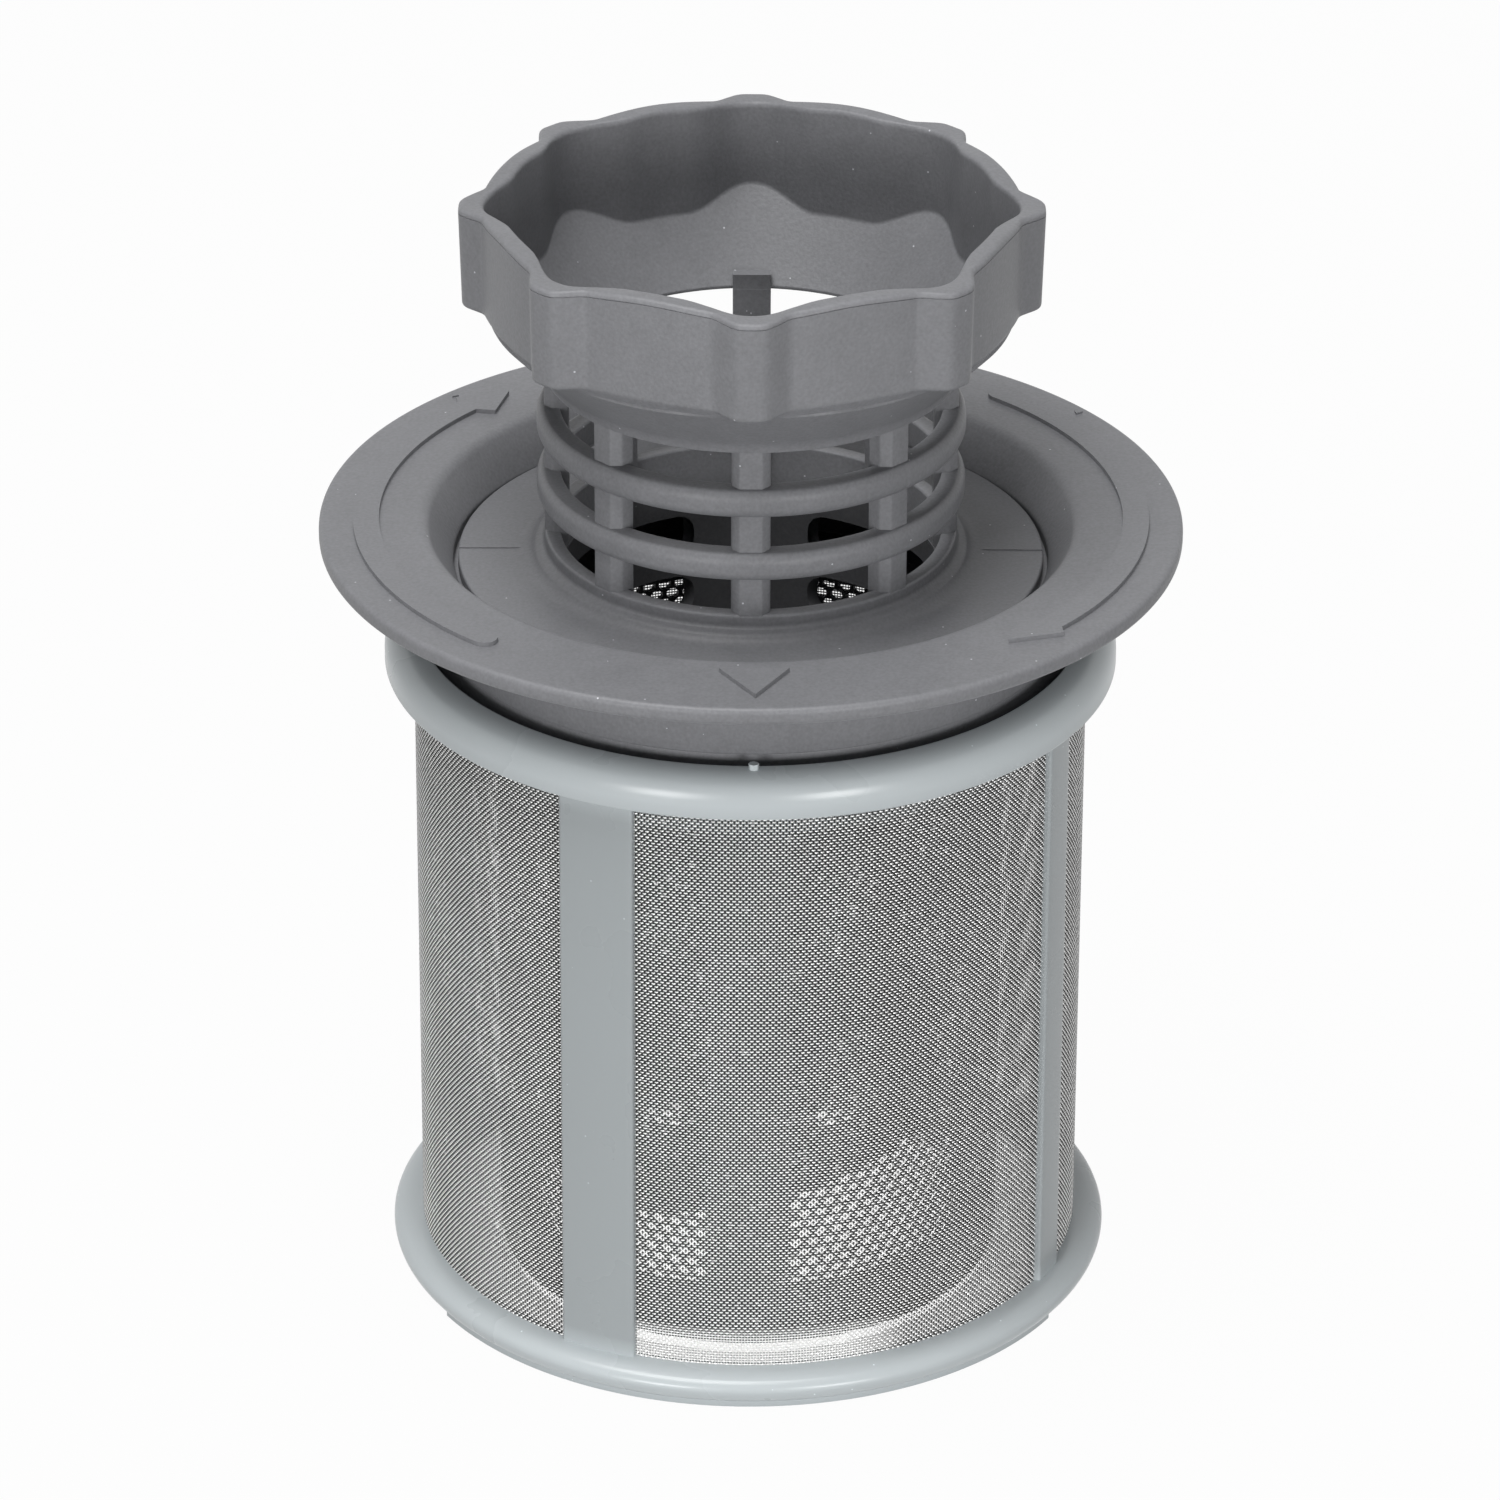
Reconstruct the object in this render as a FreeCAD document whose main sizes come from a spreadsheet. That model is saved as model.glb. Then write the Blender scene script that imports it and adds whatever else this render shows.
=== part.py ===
"""Dishwasher filter in two units that pull apart.

The lower unit is a pale frame with a woven wire sleeve moulded into it.
The upper unit drops into it: a flange with a perforated basket pushed up into
its skirt, and a strainer with a lobed grip, whose windowed tube hangs below.

Millimetres, +Z up, origin on the floor under the middle of the base ring.
The front of the filter, with the triangle mark, looks along -Y.
"""
import FreeCAD, Part
import os
import Sketcher

Vector = FreeCAD.Vector
TOUCH = 1e-4

doc = FreeCAD.newDocument("dishwasher_filter")

# Driving sizes in millimetres, angles in degrees
SIZES = {
    # pale frame and wire sleeve
    "sleeve_radius": 37.0,
    "sleeve_wall": 0.4,
    "sleeve_bury": 1.4,
    "sleeve_play": 0.05,
    "sleeve_rows": 5,
    "sleeve_columns": 20,
    "sleeve_hem": 2.5,
    "sleeve_gap_width": 0.5,
    "sleeve_gap_height": 0.62,
    "sleeve_join": 1.0,
    "sleeve_end_play": 0.1,
    "base_ring_radius": 40.2,
    "base_ring_depth": 4.3,
    "base_ring_height": 3.9,
    "base_ring_round": 1.4,
    "top_ring_radius": 40.1,
    "top_ring_level": 72.9,
    "top_ring_height": 4.7,
    "top_ring_round": 3.3,
    "top_ring_lip": 0.3,
    "socket_radius": 36.3,
    "socket_ledge": 1.5,
    "socket_floor": 1.4,
    "seat_level": 71.0,
    "post_count": 4,
    "post_angle": 26.2,
    "post_width": 8.7,
    "slim_post_width": 4.8,
    "post_proud": 0.5,
    "post_backing": 0.55,
    # flange and perforated basket
    "seat_clearance": 0.1,
    "socket_clearance": 0.3,
    "flange_rise": 18.4,
    "flange_radius": 47.0,
    "flange_thickness": 1.9,
    "flange_round": 0.45,
    "recess_radius": 35.4,
    "recess_depth": 4.0,
    "recess_round": 0.6,
    "disc_clearance": 0.5,
    "shell_wall": 1.5,
    "disc_ledge": 1.6,
    "skirt_radius": 35.0,
    "skirt_step": 0.4,
    "skirt_step_level": 78.1,
    "collar_height": 2.3,
    "spigot_height": 2.0,
    "spigot_wall": 1.2,
    "spigot_clearance": 0.05,
    "basket_radius": 28.0,
    "basket_wall": 1.2,
    "basket_foot": 1.2,
    "basket_cell": 3.4,
    "basket_cell_pitch": 12.4,
    "basket_cell_rows": 5,
    "basket_cell_angle": 18.0,
    "basket_low_row": 13.0,
    "mark_height": 0.5,
    "arrow_radius": 41.9,
    "arrow_band": 2.8,
    "arrow_start": 48.0,
    "arrow_sweep": 90.0,
    "arrow_head_length": 6.9,
    "arrow_head_half": 6.4,
    "triangle_radius": 38.4,
    "triangle_length": 5.9,
    "triangle_width": 7.2,
    # strainer with its grip
    "disc_radius": 31.9,
    "disc_thickness": 1.6,
    "land_radius": 23.4,
    "land_height": 1.0,
    "land_slope": 0.7,
    "land_flare": 1.8,
    "foot_height": 2.85,
    "neck_radius": 22.5,
    "neck_wall": 1.8,
    "cage_window": 4.2,
    "cage_ring_height": 3.2,
    "cage_ring_proud": 0.75,
    "cage_ring_round": 1.1,
    "cage_rings": 2,
    "bar_count": 8,
    "bar_width": 4.2,
    "bar_face_width": 2.5,
    "bar_depth": 2.5,
    "bar_chamfer": 1.0,
    "bar_setback": 0.15,
    "bar_root": 0.3,
    "rib_rise": 2.0,
    "neck_band": 0.9,
    "bowl_rise": 7.4,
    "bowl_lift": 2.1,
    "grip_height": 12.05,
    "grip_lobe_radius": 31.4,
    "grip_valley_radius": 28.9,
    "grip_wall": 2.8,
    "grip_lobes": 8,
    "grip_face_width": 3.0,
    "grip_flank": 2.4,
    "grip_soften": 0.8,
    "grip_rim": 0.5,
    "grip_dip": 0.65,
    "grip_dip_width": 20.0,
    "tube_wall": 1.5,
    "tube_inset": 0.5,
    "tube_rim_width": 2.5,
    "tube_rim_height": 1.2,
    "tube_end_level": 15.3,
    "tube_end_slant": 12.1,
    "tube_window": 4.6,
    "tube_window_pitch": 7.4,
    "tube_window_rows": 8,
    "tube_window_drop": 3.6,
    "tube_window_width": 18.4,
    "tube_window_round": 1.5,
    "tube_sides": 4,
}

sheet = doc.addObject("Spreadsheet::Sheet", "Sizes")
for row, (alias, value) in enumerate(SIZES.items(), start=1):
    sheet.set("A%d" % row, alias)
    sheet.set("B%d" % row, str(value))
    sheet.setAlias("B%d" % row, alias)
doc.recompute()


def tied(formula):
    """Turn a formula of bare size names into one that reads the sheet."""
    words = []
    word = ""
    for letter in formula + " ":
        if letter.isalnum() or letter == "_":
            word += letter
            continue
        words.append("Sizes." + word if word in SIZES else word)
        words.append(letter)
        word = ""
    return "".join(words).strip()


def worked_out(formula):
    """The number that a formula gives now."""
    value = sheet.evalExpression(tied(formula))
    return float(getattr(value, "Value", value))


def new_body(label):
    body = doc.addObject("PartDesign::Body", label)
    body.Label = label
    body.AllowCompound = True
    return body


def origin_part(body, role):
    return next(item for item in body.Origin.OriginFeatures if item.Role == role)


def new_sketch(body, name, plane, level="0", turn="0"):
    """Sketch on an origin plane, raised to a level or turned about the upright axis."""
    sketch = body.newObject("Sketcher::SketchObject", name)
    sketch.AttachmentSupport = [(origin_part(body, plane), "")]
    sketch.MapMode = "FlatFace"
    if plane == "XY_Plane":
        sketch.setExpression("AttachmentOffset.Base.z", tied(level))
    elif turn != "0":
        sketch.AttachmentOffset = FreeCAD.Placement(Vector(), FreeCAD.Rotation(Vector(0, 1, 0), 1))
        sketch.setExpression("AttachmentOffset.Rotation.Angle", tied(turn))
    return sketch


def add_outline(sketch, corners):
    """Closed outline of straight runs, each corner held by two formulas."""
    points = [Vector(worked_out(across), worked_out(up), 0) for across, up in corners]
    first = sketch.GeometryCount
    count = len(points)
    for index, point in enumerate(points):
        sketch.addGeometry(Part.LineSegment(point, points[(index + 1) % count]), False)
    for index in range(count):
        following = first + (index + 1) % count
        sketch.addConstraint(Sketcher.Constraint("Coincident", first + index, 2, following, 1))
    for index, (across, up) in enumerate(corners):
        for kind, formula, value in (("DistanceX", across, points[index].x), ("DistanceY", up, points[index].y)):
            place = sketch.addConstraint(Sketcher.Constraint(kind, -1, 1, first + index, 1, value))
            sketch.setExpression("Constraints[%d]" % place, tied(formula))


def add_circle(sketch, radius, across="0", up="0"):
    """Circle about a place that two formulas give."""
    centre = Vector(worked_out(across), worked_out(up), 0)
    circle = sketch.addGeometry(Part.Circle(centre, Vector(0, 0, 1), worked_out(radius)), False)
    rules = (
        (Sketcher.Constraint("Radius", circle, worked_out(radius)), radius),
        (Sketcher.Constraint("DistanceX", -1, 1, circle, 3, centre.x), across),
        (Sketcher.Constraint("DistanceY", -1, 1, circle, 3, centre.y), up),
    )
    for rule, formula in rules:
        place = sketch.addConstraint(rule)
        sketch.setExpression("Constraints[%d]" % place, tied(formula))


def revolved(body, name, corners, sweep="360", turn="0"):
    """Solid of an outline turned about the upright axis."""
    sketch = new_sketch(body, name + "_section", "XZ_Plane", turn=turn)
    add_outline(sketch, corners)
    solid = body.newObject("PartDesign::Revolution", name)
    solid.Profile = sketch
    solid.ReferenceAxis = (sketch, ["V_Axis"])
    solid.setExpression("Angle", tied(sweep))
    doc.recompute()
    return solid


def bead_corner(radius, level, inwards, along, order, side):
    """Rounded outer corner of a ring's section, as a quarter arc of three flats."""
    corners = []
    for angle in (0, 30, 60, 90):
        turned = angle if order * side < 0 else 90 - angle
        across = "(%s - %s * (1 - sin(%d)))" % (radius, inwards, turned)
        up = "(%s - %d * %s * (1 - cos(%d)))" % (level, side, along, turned)
        corners.append((across, up))
    return corners


def grooved(body, name, corners, sweep, turn):
    """Cut of an outline turned part of the way about the upright axis."""
    sketch = new_sketch(body, name + "_section", "XZ_Plane", turn=turn)
    add_outline(sketch, corners)
    before = body.Shape.Volume
    cut = body.newObject("PartDesign::Groove", name)
    cut.Profile = sketch
    cut.ReferenceAxis = (sketch, ["V_Axis"])
    cut.setExpression("Angle", tied(sweep))
    doc.recompute()
    assert body.Shape.Volume < before - TOUCH, name + " cut nothing"
    return cut


def padded(body, name, sketch, length):
    solid = body.newObject("PartDesign::Pad", name)
    solid.Profile = sketch
    solid.setExpression("Length", tied(length))
    doc.recompute()
    return solid


def pocketed(body, name, sketch, length, towards_normal=True):
    """Cut along the sketch's normal, or against it."""
    before = body.Shape.Volume
    cut = body.newObject("PartDesign::Pocket", name)
    cut.Profile = sketch
    cut.Reversed = towards_normal
    cut.setExpression("Length", tied(length))
    doc.recompute()
    assert body.Shape.Volume < before - TOUCH, name + " cut nothing"
    return cut


def around(body, name, features, count, angle="360"):
    """Copies of features about the upright axis."""
    pattern = body.newObject("PartDesign::PolarPattern", name)
    pattern.Originals = features
    pattern.Axis = (origin_part(body, "Z_Axis"), [""])
    pattern.setExpression("Angle", tied(angle))
    pattern.setExpression("Occurrences", tied(count))
    body.Tip = pattern
    doc.recompute()
    return pattern


def edge_names(body, chosen):
    return ["Edge%d" % (place + 1) for place, edge in enumerate(body.Shape.Edges) if chosen(edge)]


def round_edge(radius, level):
    """Picks the full circles of one radius at one level."""
    wanted_radius = worked_out(radius)
    wanted_level = worked_out(level)

    def chosen(edge):
        curve = edge.Curve
        if not isinstance(curve, Part.Circle):
            return False
        fits = abs(curve.Radius - wanted_radius) < TOUCH
        return fits and abs(edge.BoundBox.ZMin - wanted_level) < TOUCH and edge.BoundBox.ZLength < TOUCH
    return chosen


def dressed(body, kind, name, edges, size_name, formula):
    """Fillet or chamfer of the chosen edges."""
    names = edge_names(body, edges)
    assert names, name + " found no edge"
    base = body.Tip
    dressing = body.newObject("PartDesign::" + kind, name)
    dressing.Base = (base, names)
    dressing.setExpression(size_name, tied(formula))
    body.Tip = dressing
    doc.recompute()
    return dressing


def filleted(body, name, edges, radius):
    return dressed(body, "Fillet", name, edges, "Radius", radius)


# Levels and radii that several pieces share, worked out from the driving sizes
SLEEVE_INNER = "(sleeve_radius - sleeve_wall)"
SLEEVE_LOW = "(base_ring_height - sleeve_bury)"
SLEEVE_HIGH = "(top_ring_level + sleeve_bury)"
FRAME_BACK = "(sleeve_radius - sleeve_wall - post_backing)"
RING_TOP = "(top_ring_level + top_ring_height)"
CORE_SEAT = "(seat_level + seat_clearance)"
FLANGE_TOP = "(seat_level + seat_clearance + flange_rise)"
FLANGE_UNDER = "(seat_level + seat_clearance + flange_rise - flange_thickness)"
DISC_TOP = "(seat_level + seat_clearance + flange_rise - recess_depth)"
DISC_UNDER = "(seat_level + seat_clearance + flange_rise - recess_depth - disc_thickness)"
COLLAR_TOP = "(seat_level + seat_clearance + collar_height)"
CAGE_FOOT = "(seat_level + seat_clearance + flange_rise - recess_depth + foot_height)"
CAGE_HEIGHT = "(cage_window * (cage_rings + 1) + cage_ring_height * cage_rings)"
CAGE_TOP = "(%s + %s)" % (CAGE_FOOT, CAGE_HEIGHT)
GRIP_FOOT = "(%s + bowl_rise)" % CAGE_TOP
GRIP_TOP = "(%s + grip_height)" % GRIP_FOOT
POCKET_RADIUS = "(disc_radius + disc_clearance)"
SKIRT_INNER = "(skirt_radius - shell_wall)"
BORE_RADIUS = "(neck_radius - neck_wall)"


def make_frame():
    """Pale frame: base ring, four upright posts and top ring in one moulding."""
    body = new_body("filter_frame")
    base_inner = "base_ring_radius - base_ring_depth"
    revolved(body, "base_ring", [(base_inner, "0")]
             + bead_corner("base_ring_radius", "0", "base_ring_round", "base_ring_round", 1, -1)
             + bead_corner("base_ring_radius", "base_ring_height", "base_ring_round", "base_ring_round", 1, 1)
             + [(base_inner, "base_ring_height")])

    back = FRAME_BACK
    face = "(sleeve_radius + post_proud)"
    root = "base_ring_height / 2"
    reach = "top_ring_level + top_ring_height / 4 - base_ring_height / 2"
    for name, width, turn in (("wide_post", "post_width", 0), ("slim_post", "slim_post_width", 1)):
        angle = "(%d * 360 / post_count - post_angle)" % turn
        half = "(%s / 2)" % width
        corners = []
        for radius, side in ((back, -1), (face, -1), (face, 1), (back, 1)):
            across = "(%s * sin(%s) + %d * %s * cos(%s))" % (radius, angle, side, half, angle)
            up = "(-%s * cos(%s) + %d * %s * sin(%s))" % (radius, angle, side, half, angle)
            corners.append((across, up))
        sketch = new_sketch(body, name + "_section", "XY_Plane", root)
        add_outline(sketch, corners)
        post = padded(body, name, sketch, reach)
        if turn:
            around(body, "slim_posts", [post], "post_count - 1", "360 - 720 / post_count")

    ledge = "socket_radius - socket_ledge"
    lip = "(sleeve_radius - sleeve_wall)"
    under = "(seat_level - socket_floor)"
    revolved(body, "top_ring", [
        (lip, "top_ring_level"),
        (lip, under),
        (ledge, under),
        (ledge, "seat_level"),
        ("socket_radius", "seat_level"),
        ("socket_radius", "(%s - top_ring_lip)" % RING_TOP),
        ("(socket_radius + top_ring_lip)", RING_TOP),
    ] + bead_corner("top_ring_radius", RING_TOP, "top_ring_round", "top_ring_round", -1, 1)
      + [("top_ring_radius", "top_ring_level")])

    # slots that hold the four wire panels, from the middle of one post to the next
    slot_in = "(sleeve_radius - sleeve_wall - sleeve_play)"
    slot_out = "(sleeve_radius + sleeve_play)"
    end_gap = "(sleeve_join - sleeve_end_play)"
    slot = grooved(body, "sleeve_slot", [
        (slot_in, SLEEVE_LOW),
        (slot_out, SLEEVE_LOW),
        (slot_out, SLEEVE_HIGH),
        (slot_in, SLEEVE_HIGH),
    ], "360 / post_count - 2 * " + end_gap, end_gap + " - post_angle - 90")
    around(body, "sleeve_slots", [slot], "post_count")
    return body


def make_sleeve():
    """Woven wire sleeve: thin panels of upright and level ridges, one between each two posts."""
    body = new_body("wire_sleeve")
    panel = revolved(body, "sleeve_panel", [
        (SLEEVE_INNER, SLEEVE_LOW),
        ("sleeve_radius", SLEEVE_LOW),
        ("sleeve_radius", SLEEVE_HIGH),
        (SLEEVE_INNER, SLEEVE_HIGH),
    ], "360 / post_count - 2 * sleeve_join", "sleeve_join - post_angle - 90")
    around(body, "sleeve_panels", [panel], "post_count")
    rows = int(SIZES["sleeve_rows"])
    low = "(base_ring_height + sleeve_hem)"
    pitch = "((seat_level - socket_floor - sleeve_hem - %s) / sleeve_rows)" % low
    half = "(sleeve_radius * tan(180 / sleeve_columns) * sleeve_gap_width)"
    sketch = new_sketch(body, "sleeve_gap_section", "XZ_Plane", turn="180 / sleeve_columns - post_angle")
    for row in range(rows):
        bottom = "%s + %s * (%d + (1 - sleeve_gap_height) / 2)" % (low, pitch, row)
        top = "%s + %s * (%d + (1 + sleeve_gap_height) / 2)" % (low, pitch, row)
        add_outline(sketch, [("-" + half, bottom), (half, bottom), (half, top), ("-" + half, top)])
    gaps = pocketed(body, "sleeve_gaps", sketch, "2 * sleeve_radius")
    around(body, "sleeve_gap_ring", [gaps], "sleeve_columns")
    return body


def make_flange():
    """Dark flange with its funnel, its skirt and the raised turn arrows."""
    body = new_body("flange")
    funnel_foot = "(%s - recess_round)" % DISC_TOP
    revolved(body, "flange_shell", [
        ("recess_radius", FLANGE_TOP),
        ("flange_radius", FLANGE_TOP),
        ("flange_radius", FLANGE_UNDER),
        ("skirt_radius", FLANGE_UNDER),
        ("skirt_radius", "skirt_step_level"),
        (SKIRT_INNER, "skirt_step_level"),
        (SKIRT_INNER, "(%s - 2 * shell_wall)" % DISC_UNDER),
        ("(disc_radius - disc_ledge)", "(%s - shell_wall)" % DISC_UNDER),
        ("(disc_radius - disc_ledge)", DISC_UNDER),
        (POCKET_RADIUS, DISC_UNDER),
        (POCKET_RADIUS, funnel_foot),
    ])
    dressed(body, "Chamfer", "flange_edge", round_edge("flange_radius", FLANGE_TOP), "Size", "flange_round")
    dressed(body, "Chamfer", "recess_edge", round_edge("recess_radius", FLANGE_TOP), "Size", "recess_round")

    # two raised arrows that run clockwise seen from above
    band_in = "(arrow_radius - arrow_band / 2)"
    band_out = "(arrow_radius + arrow_band / 2)"
    buried = "(%s - mark_height)" % FLANGE_TOP
    raised = "(%s + mark_height)" % FLANGE_TOP
    band = revolved(body, "arrow_band_arc", [
        (band_in, buried),
        (band_out, buried),
        (band_out, raised),
        (band_in, raised),
    ], sweep="arrow_sweep", turn="arrow_start - 90")
    head_sketch = new_sketch(body, "arrow_head_section", "XY_Plane", buried)
    head = []
    for radius, along in (("(arrow_radius - arrow_head_half / 2)", "0"),
                          ("(arrow_radius + arrow_head_half / 2)", "0"),
                          ("arrow_radius", "arrow_head_length")):
        across = "(%s * sin(arrow_start) - %s * cos(arrow_start))" % (radius, along)
        up = "(-%s * cos(arrow_start) - %s * sin(arrow_start))" % (radius, along)
        head.append((across, up))
    add_outline(head_sketch, head)
    point = padded(body, "arrow_head", head_sketch, "2 * mark_height")
    around(body, "arrows", [band, point], "2")

    triangle_sketch = new_sketch(body, "triangle_section", "XY_Plane", buried)
    add_outline(triangle_sketch, [
        ("-triangle_width / 2", "-triangle_radius"),
        ("0", "-triangle_radius - triangle_length"),
        ("triangle_width / 2", "-triangle_radius"),
    ])
    padded(body, "triangle", triangle_sketch, "2 * mark_height")
    return body


def make_basket():
    """Dark perforated basket with the collar that it sits on and a spigot up into the skirt."""
    body = new_body("perforated_basket")
    collar = "(socket_radius - socket_clearance)"
    neck = "(skirt_radius - skirt_step)"
    basket_in = "(basket_radius - basket_wall)"
    spigot_out = "(skirt_radius - shell_wall - spigot_clearance)"
    spigot_in = "(skirt_radius - shell_wall - spigot_clearance - spigot_wall)"
    collar_floor = "(%s - shell_wall / 2)" % COLLAR_TOP
    revolved(body, "basket_shell", [
        (neck, "skirt_step_level"),
        (neck, COLLAR_TOP),
        (collar, COLLAR_TOP),
        (collar, CORE_SEAT),
        ("basket_radius", CORE_SEAT),
        ("basket_radius", "basket_foot"),
        (basket_in, "basket_foot"),
        (basket_in, collar_floor),
        (spigot_in, collar_floor),
        (spigot_in, "(skirt_step_level + spigot_height)"),
        (spigot_out, "(skirt_step_level + spigot_height)"),
        (spigot_out, "skirt_step_level"),
    ])

    # perforation of the basket, in four panels with a solid band between them
    for name, first, shift in (("basket_cells", "basket_cell_angle", "0"),
                               ("basket_cells_between", "2 * basket_cell_angle", "basket_cell_pitch / 2")):
        sketch = new_sketch(body, name + "_section", "XZ_Plane", turn=first)
        for row in range(int(SIZES["basket_cell_rows"])):
            level = "(basket_low_row + %s + %d * basket_cell_pitch)" % (shift, row)
            corners = []
            for corner in range(6):
                angle = 60 * corner
                across = "basket_cell / 2 * cos(%d)" % angle
                up = "%s + basket_cell / 2 * sin(%d)" % (level, angle)
                corners.append((across, up))
            add_outline(sketch, corners)
        column = pocketed(body, name, sketch, "2 * basket_radius")
        columns = body.newObject("PartDesign::MultiTransform", name + "_panels")
        columns.Originals = [column]
        body.Tip = columns
        steps = []
        for step, angle, count in (("column", "2 * basket_cell_angle", 2), ("panel", "360", 4)):
            pattern = body.newObject("PartDesign::PolarPattern", "%s_%s" % (name, step))
            pattern.Axis = (origin_part(body, "Z_Axis"), [""])
            pattern.setExpression("Angle", tied(angle))
            pattern.Occurrences = count
            steps.append(pattern)
        columns.Transformations = steps
        body.Tip = columns
        doc.recompute()
    return body


def make_strainer():
    """Dark strainer: lobed grip, bowl, barred cage and disc in one moulding."""
    body = new_body("grip_strainer")

    # grip wall: a round core with a lobe added every eighth turn
    core_sketch = new_sketch(body, "grip_core_section", "XY_Plane", GRIP_FOOT)
    add_circle(core_sketch, "grip_valley_radius")
    padded(body, "grip_core", core_sketch, "grip_height")
    root_half = "(grip_face_width / 2 + grip_flank)"
    root = "-sqrt(grip_valley_radius ^ 2 - %s ^ 2)" % root_half
    lobe_sketch = new_sketch(body, "grip_lobe_section", "XY_Plane", GRIP_FOOT)
    add_outline(lobe_sketch, [
        ("-%s" % root_half, root),
        ("-grip_face_width / 2", "-grip_lobe_radius"),
        ("grip_face_width / 2", "-grip_lobe_radius"),
        (root_half, root),
        ("0", "-grip_valley_radius / 2"),
    ])
    lobe = padded(body, "grip_lobe", lobe_sketch, "grip_height")
    around(body, "grip_lobe_ring", [lobe], "grip_lobes")

    # hollow of the grip: straight sides with a corner behind each lobe
    hollow_sketch = new_sketch(body, "grip_hollow_section", "XY_Plane", GRIP_FOOT)
    hollow = []
    for corner in range(int(SIZES["grip_lobes"])):
        angle = "(%d * 360 / grip_lobes)" % corner
        across = "((grip_lobe_radius - grip_wall) * sin(%s))" % angle
        up = "(-(grip_lobe_radius - grip_wall) * cos(%s))" % angle
        hollow.append((across, up))
    add_outline(hollow_sketch, hollow)
    pocketed(body, "grip_hollow", hollow_sketch, "grip_height")

    grip_top = worked_out(GRIP_TOP)
    grip_foot = worked_out(GRIP_FOOT)

    def corner_edge(edge):
        box = edge.BoundBox
        upright = box.XLength < TOUCH and box.YLength < TOUCH
        return upright and abs(box.ZLength - (grip_top - grip_foot)) < TOUCH

    filleted(body, "grip_corners", corner_edge, "grip_soften")

    def rim_edge(edge):
        box = edge.BoundBox
        return abs(box.ZMin - grip_top) < TOUCH and box.ZLength < TOUCH

    dressed(body, "Chamfer", "grip_rim_edges", rim_edge, "Size", "grip_rim")

    # rim that dips at each lobe and rises between two lobes
    dip_sketch = new_sketch(body, "grip_dip_section", "XZ_Plane")
    side = "(grip_dip_width / 2)"
    shoulder = "(grip_face_width / 2 + grip_flank)"
    add_outline(dip_sketch, [
        ("-" + side, GRIP_TOP),
        ("-" + shoulder, "(%s - 0.75 * grip_dip)" % GRIP_TOP),
        ("-grip_face_width / 2", "(%s - grip_dip)" % GRIP_TOP),
        ("grip_face_width / 2", "(%s - grip_dip)" % GRIP_TOP),
        (shoulder, "(%s - 0.75 * grip_dip)" % GRIP_TOP),
        (side, GRIP_TOP),
    ])
    dip = pocketed(body, "grip_dip", dip_sketch, "1.2 * grip_lobe_radius")
    around(body, "grip_dips", [dip], "grip_lobes")

    # bowl: a cone of even wall from the cage up into the grip
    bowl_out = "(grip_valley_radius - 0.1 * grip_wall)"
    bowl_in = "(grip_lobe_radius - grip_wall)"
    revolved(body, "bowl", [
        (BORE_RADIUS, CAGE_TOP),
        ("neck_radius", CAGE_TOP),
        ("neck_radius", "(%s + neck_band)" % CAGE_TOP),
        (bowl_out, GRIP_FOOT),
        (bowl_out, "(%s + bowl_lift)" % GRIP_FOOT),
        (bowl_in, "(%s + bowl_lift)" % GRIP_FOOT),
        (BORE_RADIUS, "(%s + 0.6 * neck_band)" % CAGE_TOP),
    ])

    # disc that closes the flange's recess, with the land round the neck
    revolved(body, "disc", [
        (BORE_RADIUS, CAGE_FOOT),
        ("neck_radius", CAGE_FOOT),
        ("neck_radius", "(%s + land_height + land_slope)" % DISC_TOP),
        ("land_radius", "(%s + land_height)" % DISC_TOP),
        ("(land_radius + land_flare / 3)", "(%s + land_height / 3)" % DISC_TOP),
        ("(land_radius + land_flare)", DISC_TOP),
        ("disc_radius", DISC_TOP),
        ("disc_radius", DISC_UNDER),
        (BORE_RADIUS, DISC_UNDER),
    ])

    # bars of the cage, narrower on their outer face
    bar_sketch = new_sketch(body, "bar_section", "XY_Plane", "(%s - foot_height / 3)" % CAGE_FOOT)
    face = "(neck_radius - bar_setback)"
    add_outline(bar_sketch, [
        ("-bar_face_width / 2", "-" + face),
        ("bar_face_width / 2", "-" + face),
        ("bar_width / 2", "-(%s - bar_chamfer)" % face),
        ("bar_width / 2", "-(%s - bar_depth)" % face),
        ("-bar_width / 2", "-(%s - bar_depth)" % face),
        ("-bar_width / 2", "-(%s - bar_chamfer)" % face),
    ])
    bar = padded(body, "bar", bar_sketch, "foot_height / 3 + %s + bar_root" % CAGE_HEIGHT)
    around(body, "bars", [bar], "bar_count")

    # short rib on the bowl above the bar at the back
    rib_sketch = new_sketch(body, "rib_section", "XY_Plane", "(%s - bar_root)" % CAGE_TOP)
    add_outline(rib_sketch, [
        ("-bar_width / 2", "(%s - bar_depth)" % face),
        ("bar_width / 2", "(%s - bar_depth)" % face),
        ("bar_width / 2", "(%s - bar_chamfer)" % face),
        ("-bar_width / 2", "(%s - bar_chamfer)" % face),
    ])
    padded(body, "rib", rib_sketch, "bar_root + rib_rise")

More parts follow.
